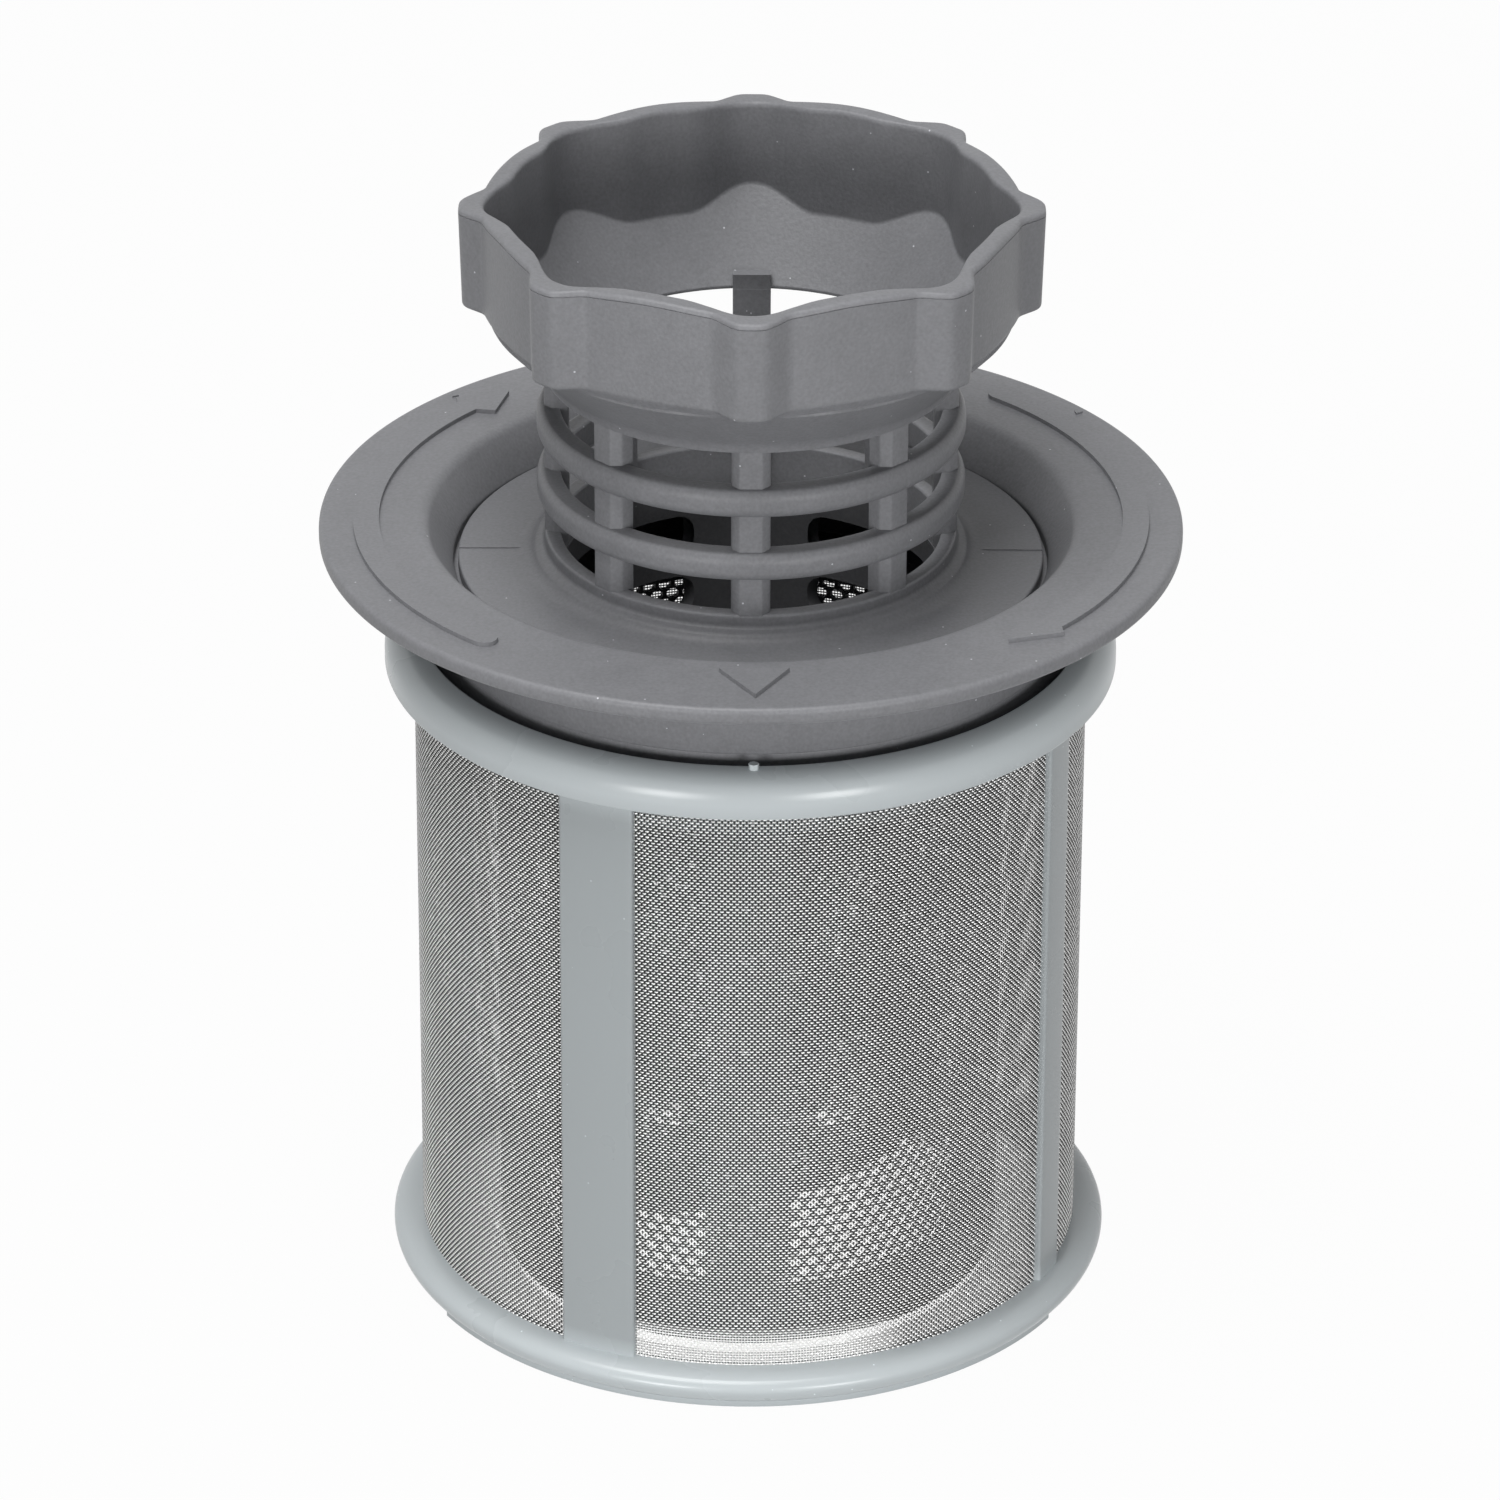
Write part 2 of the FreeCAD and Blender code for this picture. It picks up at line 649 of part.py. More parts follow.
    # hoops that bind the bars and stand proud of them
    hoop_foot = "(%s + cage_window)" % CAGE_FOOT
    hoop_top = "(%s + cage_window + cage_ring_height)" % CAGE_FOOT
    hoop_out = "(neck_radius + cage_ring_proud)"
    sketch = new_sketch(body, "hoop_section", "XZ_Plane")
    for hoop in range(int(SIZES["cage_rings"])):
        rise = " + %d * (cage_window + cage_ring_height)" % hoop
        add_outline(sketch, [
            (BORE_RADIUS, hoop_foot + rise),
            ("(%s - cage_ring_round)" % hoop_out, hoop_foot + rise),
            (hoop_out, "(%s%s + cage_ring_round)" % (hoop_foot, rise)),
            (hoop_out, "(%s%s - cage_ring_round)" % (hoop_top, rise)),
            ("(%s - cage_ring_round)" % hoop_out, hoop_top + rise),
            (BORE_RADIUS, hoop_top + rise),
        ])
    hoops = body.newObject("PartDesign::Revolution", "hoops")
    hoops.Profile = sketch
    hoops.ReferenceAxis = (sketch, ["V_Axis"])
    hoops.Angle = 360
    doc.recompute()

    return body


def make_tube():
    """Dark tube under the disc, with rows of windows on four sides and a slanted end."""
    body = new_body("inner_tube")
    tube_out = "(neck_radius - tube_inset)"
    tube_in = "(neck_radius - tube_inset - tube_wall)"
    rim_out = "(neck_radius - tube_inset + tube_rim_width)"
    revolved(body, "tube", [
        (tube_in, DISC_UNDER),
        (rim_out, DISC_UNDER),
        (rim_out, "(%s - tube_rim_height)" % DISC_UNDER),
        (tube_out, "(%s - tube_rim_height)" % DISC_UNDER),
        (tube_out, "basket_foot"),
        (tube_in, "basket_foot"),
    ])

    # windows with their corners cut, in rows on four sides
    window_sketch = new_sketch(body, "tube_window_section", "XZ_Plane", turn="180 / tube_sides")
    half = "(tube_window_width / 2)"
    for row in range(int(SIZES["tube_window_rows"])):
        top = "(%s - tube_window_drop - %d * tube_window_pitch)" % (DISC_UNDER, row)
        low = "(%s - tube_window)" % top
        cut = "tube_window_round"
        add_outline(window_sketch, [
            ("-(%s - %s)" % (half, cut), low),
            ("(%s - %s)" % (half, cut), low),
            (half, "(%s + %s)" % (low, cut)),
            (half, "(%s - %s)" % (top, cut)),
            ("(%s - %s)" % (half, cut), top),
            ("-(%s - %s)" % (half, cut), top),
            ("-" + half, "(%s - %s)" % (top, cut)),
            ("-" + half, "(%s + %s)" % (low, cut)),
        ])
    windows = pocketed(body, "tube_windows", window_sketch, "2 * neck_radius")
    around(body, "tube_window_sides", [windows], "tube_sides")

    # slanted lower end of the inner tube
    slant_sketch = new_sketch(body, "tube_end_section", "XZ_Plane")
    reach = "(neck_radius + tube_wall)"
    add_outline(slant_sketch, [
        ("-" + reach, "-basket_foot"),
        (reach, "-basket_foot"),
        (reach, "(tube_end_level + %s * tan(tube_end_slant))" % reach),
        ("-" + reach, "(tube_end_level - %s * tan(tube_end_slant))" % reach),
    ])
    before = body.Shape.Volume
    slant = body.newObject("PartDesign::Pocket", "tube_end")
    slant.Profile = slant_sketch
    slant.Type = "ThroughAll"
    slant.Midplane = True
    doc.recompute()
    assert body.Shape.Volume < before - TOUCH, "tube_end cut nothing"
    return body


def checked(body):
    """Stop if the piece or one of its features failed."""
    for item in [body] + list(body.Group):
        state = " ".join(item.State)
        assert "Invalid" not in state and "Error" not in state, "%s failed: %s" % (item.Label, state)
    shape = body.Shape
    assert not shape.isNull() and shape.isValid(), body.Label + " has no valid shape"
    wanted = int(SIZES["post_count"]) if body.Label == "wire_sleeve" else 1
    assert len(shape.Solids) == wanted, "%s is in %d solids" % (body.Label, len(shape.Solids))
    return shape


pieces = [make_frame(), make_sleeve(), make_flange(), make_basket(), make_strainer(), make_tube()]
doc.recompute()
for piece in pieces:
    checked(piece)
os.makedirs("parts", exist_ok=True)
for piece in pieces:
    piece.Shape.exportStep("parts/%s.step" % piece.Label)
    print(piece.Label, round(piece.Shape.Volume), "mm3")
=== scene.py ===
import math

import bmesh
import bpy
from mathutils import Matrix


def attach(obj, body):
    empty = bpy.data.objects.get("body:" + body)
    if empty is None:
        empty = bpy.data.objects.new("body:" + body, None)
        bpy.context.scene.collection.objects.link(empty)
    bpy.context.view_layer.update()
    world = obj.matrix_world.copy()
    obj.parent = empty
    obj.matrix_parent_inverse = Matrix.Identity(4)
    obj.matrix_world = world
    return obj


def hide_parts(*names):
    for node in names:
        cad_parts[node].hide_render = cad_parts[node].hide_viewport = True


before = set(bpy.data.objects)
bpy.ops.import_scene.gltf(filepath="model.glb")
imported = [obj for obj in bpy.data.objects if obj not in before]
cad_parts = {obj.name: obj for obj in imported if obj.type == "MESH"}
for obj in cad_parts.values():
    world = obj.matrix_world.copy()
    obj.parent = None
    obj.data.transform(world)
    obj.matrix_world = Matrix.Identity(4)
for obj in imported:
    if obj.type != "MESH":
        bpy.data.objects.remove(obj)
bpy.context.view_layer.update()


# Pale frame
# One moulding in pale bluish grey polypropylene: a base ring, four upright
# posts and a rounded top ring, shot round the wire sleeve in one go.

class Socket:
    """A node's output that takes part in plain arithmetic."""

    def __init__(self, nodes, output):
        self.nodes = nodes
        self.output = output

    def worked(self, operation, *others):
        """The result of a maths node that takes this value first."""
        return self.nodes.maths(operation, self, *others)

    def ramp(self, start, end):
        """0 at the start, 1 at the end and level past both."""
        return self.nodes.add("ShaderNodeMapRange", {}, {"Value": self, 1: start, 2: end, 3: 0.0, 4: 1.0})

    def __add__(self, other):
        return self.worked("ADD", other)

    def __radd__(self, other):
        return self.nodes.maths("ADD", other, self)

    def __sub__(self, other):
        return self.worked("SUBTRACT", other)

    def __rsub__(self, other):
        return self.nodes.maths("SUBTRACT", other, self)

    def __mul__(self, other):
        return self.worked("MULTIPLY", other)

    def __rmul__(self, other):
        return self.nodes.maths("MULTIPLY", other, self)

    def __truediv__(self, other):
        return self.worked("DIVIDE", other)

    def __lt__(self, other):
        return self.worked("LESS_THAN", other)

    def __gt__(self, other):
        return self.worked("GREATER_THAN", other)


class Nodes:
    """Adds nodes to one tree, of a material, of the world or of a modifier."""

    def __init__(self, tree):
        self.tree = tree

    def add(self, kind, settings=None, inputs=None, output=0):
        node = self.tree.nodes.new(kind)
        for name, value in (settings or {}).items():
            setattr(node, name, value)
        for name, value in (inputs or {}).items():
            if isinstance(value, Socket):
                self.tree.links.new(value.output, node.inputs[name])
            else:
                node.inputs[name].default_value = value
        return Socket(self, node.outputs[output] if node.outputs else None)

    def maths(self, operation, *values):
        return self.add("ShaderNodeMath", {"operation": operation}, dict(enumerate(values)))

    def vectors(self, operation, *values, output=0):
        return self.add("ShaderNodeVectorMath", {"operation": operation}, dict(enumerate(values)), output)

    def scaled(self, vector, size):
        return self.add("ShaderNodeVectorMath", {"operation": "SCALE"}, {0: vector, "Scale": size})

    def joined(self, x=0.0, y=0.0, z=0.0):
        """One vector from three values."""
        return self.add("ShaderNodeCombineXYZ", {}, {0: x, 1: y, 2: z})

    def axes(self, vector):
        """The three values of one vector."""
        split = self.add("ShaderNodeSeparateXYZ", {}, {0: vector}).output.node
        return [Socket(self, output) for output in split.outputs]

    def noise(self, place, scale, detail):
        return self.add("ShaderNodeTexNoise", {}, {"Vector": place, "Scale": scale, "Detail": detail})


def new_material(name):
    material = bpy.data.materials.new(name)
    material.use_nodes = True
    material.node_tree.nodes.clear()
    return material, Nodes(material.node_tree)


def moulded_plastic(name, colour, roughness, clouds, speckle, grain, dusty, gloss=0.3, painted_post_shade=0.0):
    """Moulded plastic: cloudy flow marks, a fine speckle, dust and the grain of the tool.

    With the last argument, the posts between the two rings are painted darker than the thick rings, as
    painted shade, and the base ring is painted a little darker, also painted shade.
    """
    material, nodes = new_material(name)
    place = nodes.add("ShaderNodeTexCoord", output="Object")
    cloud = nodes.noise(place, 60.0, 3.0)
    patch = nodes.noise(place, 420.0, 3.0)
    fleck = nodes.noise(place, 2600.0, 1.0)
    dust = nodes.add("ShaderNodeTexVoronoi", {}, {"Vector": place, "Scale": 420.0})
    speck = (dust < 0.045) * (cloud > 0.47)
    tone = (1.0 + clouds * (cloud - 0.5) + 0.5 * speckle * (patch - 0.5) + speckle * (fleck - 0.5)
            + dusty * speck)
    # Painted shade: darker posts between the rings and a slightly darker base ring.
    if painted_post_shade:
        level = nodes.axes(place)[2]
        above_base = level.ramp(0.0035, 0.0060)
        below_top = level.ramp(0.0745, 0.0700)
        tone = tone * (0.94 + 0.06 * above_base - painted_post_shade * above_base * below_top)
    polish = roughness + 0.3 * speckle * (patch - 0.5) + 0.08 * (cloud - 0.5)
    bump = nodes.add("ShaderNodeBump", {}, {
        "Strength": grain, "Distance": 0.00004, "Height": fleck + 0.8 * patch})
    surface = nodes.add("ShaderNodeBsdfPrincipled", {}, {
        "Base Color": nodes.scaled(colour, tone), "Roughness": polish, "Normal": bump,
        "Specular IOR Level": gloss})
    nodes.add("ShaderNodeOutputMaterial", {}, {"Surface": surface})
    return material


def polar(radius, angle):
    """A plan point, with the angle in radians counted from the front towards the right."""
    return radius * math.sin(angle), -radius * math.cos(angle)


CREASE = 35.0


class Form:
    """Points in millimetres and faces, gathered for one piece."""

    def __init__(self):
        self.points = []
        self.faces = []

    def add(self, points, faces):
        first = len(self.points)
        self.points.extend(points)
        for face in faces:
            self.faces.append(tuple(first + corner for corner in face))

    def wrap(self, rings):
        """Closed outlines of (radius, level), one for each even step round the upright axis."""
        count = len(rings[0])
        points = []
        faces = []
        for sector, ring in enumerate(rings):
            angle = math.tau * sector / len(rings)
            here = sector * count
            there = (sector + 1) % len(rings) * count
            for step, (radius, level) in enumerate(ring):
                after = (step + 1) % count
                points.append((*polar(radius, angle), level))
                faces.append((here + step, here + after, there + after, there + step))
        self.add(points, faces)

    def turn(self, outline, sectors=360):
        """One closed outline of (radius, level) turned about the upright axis."""
        self.wrap([outline] * sectors)

    def rise(self, outline, low, high):
        """A closed plan outline raised from one level to another."""
        count = len(outline)
        points = [(x, y, low) for x, y in outline] + [(x, y, high) for x, y in outline]
        faces = [tuple(range(count)), tuple(range(count, 2 * count))]
        for step in range(count):
            after = (step + 1) % count
            faces.append((step, after, count + after, count + step))
        self.add(points, faces)

    def arc(self, start, end, inner, outer, low, high, steps):
        """A stretch of round wall between two angles in degrees."""
        plan = []
        for radius, order in ((outer, range(steps + 1)), (inner, range(steps, -1, -1))):
            for step in order:
                plan.append(polar(radius, math.radians(start + (end - start) * step / steps)))
        self.rise(plan, low, high)

    def piece(self, name, material, crease=CREASE):
        mesh = bpy.data.meshes.new(name)
        mesh.from_pydata([(x / 1000, y / 1000, z / 1000) for x, y, z in self.points], [], self.faces)
        work = bmesh.new()
        work.from_mesh(mesh)
        bmesh.ops.recalc_face_normals(work, faces=work.faces)
        work.to_mesh(mesh)
        work.free()
        mesh.shade_smooth()
        mesh.set_sharp_from_angle(angle=math.radians(crease))
        mesh.materials.append(material)
        item = bpy.data.objects.new(name, mesh)
        bpy.context.scene.collection.objects.link(item)
        return item


def rounded(corners, steps=5):
    """Closed outline of (across, up, rounding) corners, each eased by a short curve."""
    outline = []
    for here, (x, y, size) in enumerate(corners):
        before = corners[here - 1]
        after = corners[(here + 1) % len(corners)]
        if not size:
            outline.append((x, y))
            continue
        ends = []
        for other in (before, after):
            run = math.dist((x, y), other[:2])
            reach = min(size, 0.98 * run * size / (size + other[2]))
            ends.append((x + (other[0] - x) * reach / run, y + (other[1] - y) * reach / run))
        for step in range(steps + 1):
            t = step / steps
            outline.append(tuple((1 - t) ** 2 * a + 2 * t * (1 - t) * b + t ** 2 * c
                                 for a, b, c in zip(ends[0], (x, y), ends[1])))
    return outline


POSTS = ((-26.2, 8.7), (63.8, 4.8), (153.8, 4.8), (243.8, 4.8))
POST_RADIUS = 37.0
POST_STEP = 0.6
POST_FOOT = 2.0
POST_HEAD = 74.5

# The posts and the base ring in this plastic are painted darker, as painted shade.
pale = moulded_plastic("pale_moulding", (0.508, 0.550, 0.566), roughness=0.28, clouds=0.04, speckle=0.02,
                       grain=0.06, dusty=0.5, gloss=0.45, painted_post_shade=0.37)
frame_form = Form()
frame_form.turn(rounded([
    (35.9, 0.4, 0.3), (38.9, 0.4, 0.7), (40.2, 1.5, 1.0), (40.2, 3.0, 0.9), (38.6, 3.9, 1.0),
    (35.9, 3.9, 0.3)]))
# Two low feet under the base ring.
for middle in (0.0, 180.0):
    frame_form.arc(middle - 59.0, middle + 59.0, 36.2, 39.2, 0.0, 0.8, 118)
frame_form.turn(rounded([
    (36.3, 77.6, 0.35), (40.1, 77.6, 3.4), (40.1, 72.9, 0.3), (36.6, 72.9, 0.1), (36.6, 69.6, 0.2),
    (34.8, 69.6, 0.2), (34.8, 71.0, 0.2), (36.3, 71.0, 0.1)], 8))
for post_angle, post_width in POSTS:
    half = post_width / 2
    plan = rounded([(-half, 37.55, 0.35), (half, 37.55, 0.35), (half, 36.05, 0.1), (-half, 36.05, 0.1)])
    curved = []
    for here, (across, out) in enumerate(plan):
        next_across, next_out = plan[(here + 1) % len(plan)]
        parts = max(1, int(abs(next_across - across) / POST_STEP))
        for part in range(parts):
            side = across + (next_across - across) * part / parts
            radius = out + (next_out - out) * part / parts
            curved.append(polar(radius, math.radians(post_angle) + side / POST_RADIUS))
    frame_form.rise(curved, POST_FOOT, POST_HEAD)
# The nub that the gate left on the top ring's front.
gate = []
for corner in range(8):
    turned = math.tau * corner / 8
    gate.append((0.4 + 0.55 * math.cos(turned), -37.1 - 0.5 * math.sin(turned)))
frame_form.rise(gate, 77.0, 78.2)
frame_shell = frame_form.piece("frame_shell", pale)
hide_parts("filter_frame")
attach(frame_shell, "fine_filter")


# Wire sleeve
# Plain-woven stainless wire cloth, about eighty wires to the inch, rolled
# into a tube and moulded into the pale frame at both rims.

SLEEVE = {"Radius": 0.0368, "Low": 0.0026, "High": 0.0742, "Upright wire": 0.000060, "Hoop wire": 0.000098,
          "Uprights": 712, "Hoops": 220}
LEAN = 0.7


def woven_metal(name):
    """Wire that passes over and under, worked out from the wire grid itself.

    u and v count upright wires and hoops, so that the crossings lie on whole numbers. The colour is
    painted bright where a wire crests over the one it crosses and dark where it dips, and the knuckles of
    the
    upright wires are painted dark: painted light and shade of the weave. Faces turned into the tube are
    painted darker, as painted shade. In the photo the table shines through the lowest front of the cloth
    and drowns the wires, so they are painted paler there, as painted light.
    """
    material, nodes = new_material(name)
    place = nodes.add("ShaderNodeTexCoord", output="Object")
    x, y, z = nodes.axes(place)
    pitch = (SLEEVE["High"] - SLEEVE["Low"]) / (SLEEVE["Hoops"] - 1)
    u = x.worked("ARCTAN2", 0.0 - y) * (SLEEVE["Uprights"] / math.tau)
    v = (z - SLEEVE["Low"]) / pitch
    upright = u.worked("ROUND")
    hoop = v.worked("ROUND")
    side = (u - upright) * (pitch / SLEEVE["Upright wire"])
    rise = (v - hoop) * (pitch / SLEEVE["Hoop wire"])
    even = (upright + hoop).worked("PINGPONG", 1.0)
    on_upright = side.worked("ABSOLUTE") < 1.0
    on_hoop = rise.worked("ABSOLUTE") < 1.0
    show_upright = on_upright * (1.0 - on_hoop * even)
    phase_up = (v + upright) * math.pi
    phase_round = (u + hoop) * math.pi

    def chosen(when_upright, when_hoop):
        return when_hoop + show_upright * (when_upright - when_hoop)

    along = chosen(side, -LEAN * phase_round.worked("SINE"))
    lift = chosen(LEAN * phase_up.worked("SINE"), rise)
    crest = chosen(phase_up.worked("COSINE"), 0.0 - phase_round.worked("COSINE"))

    radial = nodes.vectors("NORMALIZE", nodes.joined(x, y))
    tangent = nodes.vectors("CROSS_PRODUCT", (0, 0, 1), radial)
    facing = nodes.add("ShaderNodeNewGeometry", output="True Normal")
    outside = nodes.vectors("DOT_PRODUCT", facing, radial, output="Value")
    bulge = 1.0 - 0.9 * lift * lift - 0.6 * along * along
    bulge = bulge.worked("MAXIMUM", 0.06).worked("SQRT")
    flat = nodes.vectors("ADD", nodes.scaled(radial, outside.worked("SIGN") * bulge),
                         nodes.scaled(tangent, along * 0.8))
    normal = nodes.vectors("NORMALIZE", nodes.vectors("ADD", flat, nodes.joined(z=lift * 0.95)))

    cloud = nodes.noise(place, 90.0, 2.0)
    glint = nodes.noise(place, 1500.0, 1.0)
    near_foot = z.ramp(0.0086, 0.0072) * y.ramp(-0.0325, -0.0350)
    sparkle = (glint > 0.68) * (cloud > 0.50)
    # Painted light and shade of the weave: bright on a crest, dark where a wire dips and on the upright
    # wires' knuckles.
    painted_weave_shading = crest.ramp(-0.75, 0.1) * (1.0 - 0.94 * show_upright)
    lit = painted_weave_shading * (0.92 + 0.4 * glint) * (0.85 + 0.3 * cloud) + 0.35 * sparkle
    # Faces turned into the tube are painted darker, as painted shade, and the lowest front of the cloth is
    # painted paler, as painted light.
    tone = (lit + near_foot * (1.0 - lit)) * (0.70 + 0.30 * (outside > 0.0))
    surface = nodes.add("ShaderNodeBsdfPrincipled", {}, {
        "Base Color": nodes.scaled((0.99, 0.99, 0.98), tone), "Metallic": 0.5 * painted_weave_shading,
        "Roughness": 0.42 + 0.06 * glint, "Normal": normal, "Specular IOR Level": 0.1})
    nodes.add("ShaderNodeOutputMaterial", {}, {"Surface": surface})
    return material


class Tree:
    """A modifier's node tree with named number inputs, run once into a plain mesh."""

    def __init__(self, name, sizes):
        self.tree = bpy.data.node_groups.new(name, "GeometryNodeTree")
        self.nodes = Nodes(self.tree)
        self.sizes = sizes
        self.tree.interface.new_socket("Geometry", in_out="INPUT", socket_type="NodeSocketGeometry")
        self.keys = {}
        for label, value in sizes.items():
            kind = "NodeSocketInt" if isinstance(value, int) else "NodeSocketFloat"
            made = self.tree.interface.new_socket(label, in_out="INPUT", socket_type=kind)
            self.keys[label] = made.identifier
        self.tree.interface.new_socket("Geometry", in_out="OUTPUT", socket_type="NodeSocketGeometry")
        self.given = self.tree.nodes.new("NodeGroupInput")

    def __getitem__(self, label):
        return Socket(self.nodes, self.given.outputs[label])

    def close(self, shape, material):
        real = self.nodes.add("GeometryNodeRealizeInstances", {}, {0: shape})
        dressed = self.nodes.add("GeometryNodeSetMaterial", {}, {"Geometry": real, "Material": material})
        self.nodes.add("NodeGroupOutput", {}, {0: dressed})

    def run(self, name, start=None):
        """Evaluates the tree on a mesh and returns the result as one plain piece."""
        mesh = start or bpy.data.meshes.new(name + "_seed")
        maker = bpy.data.objects.new(name + "_maker", mesh)
        bpy.context.scene.collection.objects.link(maker)
        modifier = maker.modifiers.new(self.tree.name, "NODES")
        modifier.node_group = self.tree
        for label, key in self.keys.items():
            modifier[key] = self.sizes[label]
        seen = maker.evaluated_get(bpy.context.evaluated_depsgraph_get())
        result = bpy.data.meshes.new_from_object(seen)
        result.name = name
        result.shade_smooth()
        result.set_sharp_from_angle(angle=math.radians(CREASE))
        bpy.data.objects.remove(maker)
        item = bpy.data.objects.new(name, result)
        bpy.context.scene.collection.objects.link(item)
        return item


wire_metal = woven_metal("woven_steel_wire")
for part in ("uprights", "hoops"):
    weave = Tree("weave_" + part, SLEEVE)
    nodes = weave.nodes
    index = nodes.add("GeometryNodeInputIndex")
    where = turn = (0.0, 0.0, 0.0)
    if part == "uprights":
        thick = weave["Upright wire"]
        count = weave["Uprights"]
        path = nodes.add("GeometryNodeCurvePrimitiveLine", {}, {
            "Start": nodes.joined(x=weave["Radius"], z=weave["Low"]),
            "End": nodes.joined(x=weave["Radius"], z=weave["High"])})
        turn = nodes.joined(z=index * math.tau / count - math.pi / 2)
    else:
        thick = weave["Hoop wire"]
        count = weave["Hoops"]
        path = nodes.add("GeometryNodeCurvePrimitiveCircle", {}, {
            "Resolution": 128, "Radius": weave["Radius"]})
        step = (weave["High"] - weave["Low"]) / (count - 1.0)
        where = nodes.joined(z=weave["Low"] + index * step)
    section = nodes.add("GeometryNodeCurvePrimitiveCircle", {}, {"Resolution": 3, "Radius": thick})
    wire = nodes.add("GeometryNodeCurveToMesh", {}, {"Curve": path, "Profile Curve": section})
    spots = nodes.add("GeometryNodePoints", {}, {"Count": count, "Position": where})
    copies = nodes.add("GeometryNodeInstanceOnPoints", {}, {
        "Points": spots, "Instance": wire, "Rotation": turn})
    weave.close(copies, wire_metal)
    cloth = weave.run("wire_" + part)
    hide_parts("wire_sleeve")
    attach(cloth, "fine_filter")


# Flange
# Dark grey moulding: the wide seating flange with a funnel inside and a skirt
# below. Its marks are moulded on. The strainer's disc lies on the funnel's foot.

ARROW = {"Tail": 138.0, "Neck": 48.0, "Inner": 40.45, "Outer": 43.3}
MARK_FOOT = 89.0
MARK_TOP = 90.0
BURR_TOP = 89.7

dark = moulded_plastic("dark_moulding", (0.178, 0.180, 0.190), roughness=0.46, clouds=0.16, speckle=0.34,
                       grain=0.60, dusty=1.8)
flange_form = Form()
flange_form.turn(rounded([
    (35.4, 89.5, 0.9), (47.0, 89.5, 0.7), (47.0, 87.6, 0.6), (35.0, 87.6, 0.5), (35.0, 78.1, 0.25),
    (33.5, 78.1, 0.1), (33.5, 80.9, 0.2), (30.3, 82.4, 0.2), (30.3, 83.9, 0.2), (32.4, 83.9, 0.1),
    (32.4, 84.9, 0.2)], 6))
arrow_middle = (ARROW["Outer"] + ARROW["Inner"]) / 2
arrow_half = (ARROW["Outer"] - ARROW["Inner"]) / 2
for turned in (0.0, 180.0):
    angles = []
    for step in range(61):
        angles.append(math.radians(ARROW["Tail"] - (ARROW["Tail"] - ARROW["Neck"]) * step / 60 + turned))
    outer_side = [polar(ARROW["Outer"], angle) for angle in angles[:-1]]
    inner_side = [polar(ARROW["Inner"], angle) for angle in reversed(angles[:-1])]
    head = []
    for radius, degrees in ((44.3, 48.3), (41.4, 41.1), (38.6, 47.8)):
        head.append(polar(radius, math.radians(degrees + turned)))
    round_tail = []
    for step in range(1, 8):
        t = math.pi * step / 8
        round_tail.append(polar(arrow_middle - arrow_half * math.cos(t),
                                angles[0] + arrow_half * math.sin(t) / arrow_middle))
    flange_form.rise(outer_side + head + inner_side + round_tail, MARK_FOOT, MARK_TOP)
triangle = []
for radius, degrees in ((38.4, -4.9), (44.3, 0.7), (38.3, 6.2)):
    triangle.append(polar(radius, math.radians(degrees)))
flange_form.rise(triangle, MARK_FOOT, MARK_TOP)
# Two small burrs near the edge.
for degrees in (-133.0, 126.0):
    start = math.radians(degrees)
    end = math.radians(degrees + 0.9)
    flange_form.rise([polar(45.8, start), polar(44.9, start), polar(45.2, end)], MARK_FOOT, BURR_TOP)
flange_shell = flange_form.piece("flange_shell", dark)
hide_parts("flange")
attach(flange_shell, "coarse_filter")


# Basket
# Dark grey moulding fixed under the skirt: a collar that seats in the top ring
# and a thin wall of small staggered holes between plain bands, with a plain hem.

HOLES = {"Columns": 18, "Rows": 50, "Across": 0.0019, "Up": 0.00122, "Radius": 0.028, "Foot": 0.0088,
         "Panels": 4}
WALL_OUTER = 28.0
WALL_INNER = 26.8
ROW_HEIGHT = 1000 * HOLES["Up"]

wall_low = 1000 * HOLES["Foot"] - ROW_HEIGHT / 2
wall_high = wall_low + ROW_HEIGHT * HOLES["Rows"]
hem_top = wall_low + 0.01
bands_form = Form()
bands_form.turn(rounded([
    (WALL_OUTER, 1.2, 0.3), (WALL_OUTER, hem_top, 0), (WALL_INNER, hem_top, 0),
    (WALL_INNER, 1.2, 0.3)]), 240)
bands_form.turn(rounded([
    (34.6, 78.1, 0.25), (34.6, 73.4, 0.2), (36.0, 73.4, 0.2), (36.0, 71.1, 0.2), (WALL_OUTER, 71.1, 0.1),
    (WALL_OUTER, wall_high, 0.0), (WALL_INNER, wall_high, 0.0), (WALL_INNER, 72.6, 0.2), (32.3, 72.6, 0.2),
    (32.3, 78.1, 0.2)], 6))
half_panel = math.degrees(HOLES["Across"] * (HOLES["Columns"] / 2 + 0.25) / HOLES["Radius"])
half_cell = math.degrees(HOLES["Across"] / 2 / HOLES["Radius"])
for panel in range(HOLES["Panels"]):
    middle = 45.0 + 90.0 * panel
    start = middle - half_panel
    end = middle + half_panel
    bands_form.arc(end, middle + 90.0 - half_panel, WALL_INNER, WALL_OUTER, wall_low, wall_high, 10)
    bands_form.arc(start, start + 0.05, WALL_INNER, 27.5, wall_low, wall_high, 1)
    # Staggered rows leave half a cell open at alternate ends, which these plates close.
    for row in range(HOLES["Rows"]):
        low = wall_low + ROW_HEIGHT * row
        side = start if row % 2 else end - half_cell
        bands_form.arc(side, side + half_cell, 27.4, WALL_OUTER, low, low + ROW_HEIGHT, 1)
basket_bands = bands_form.piece("basket_bands", dark)
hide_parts("perforated_basket")
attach(basket_bands, "coarse_filter")

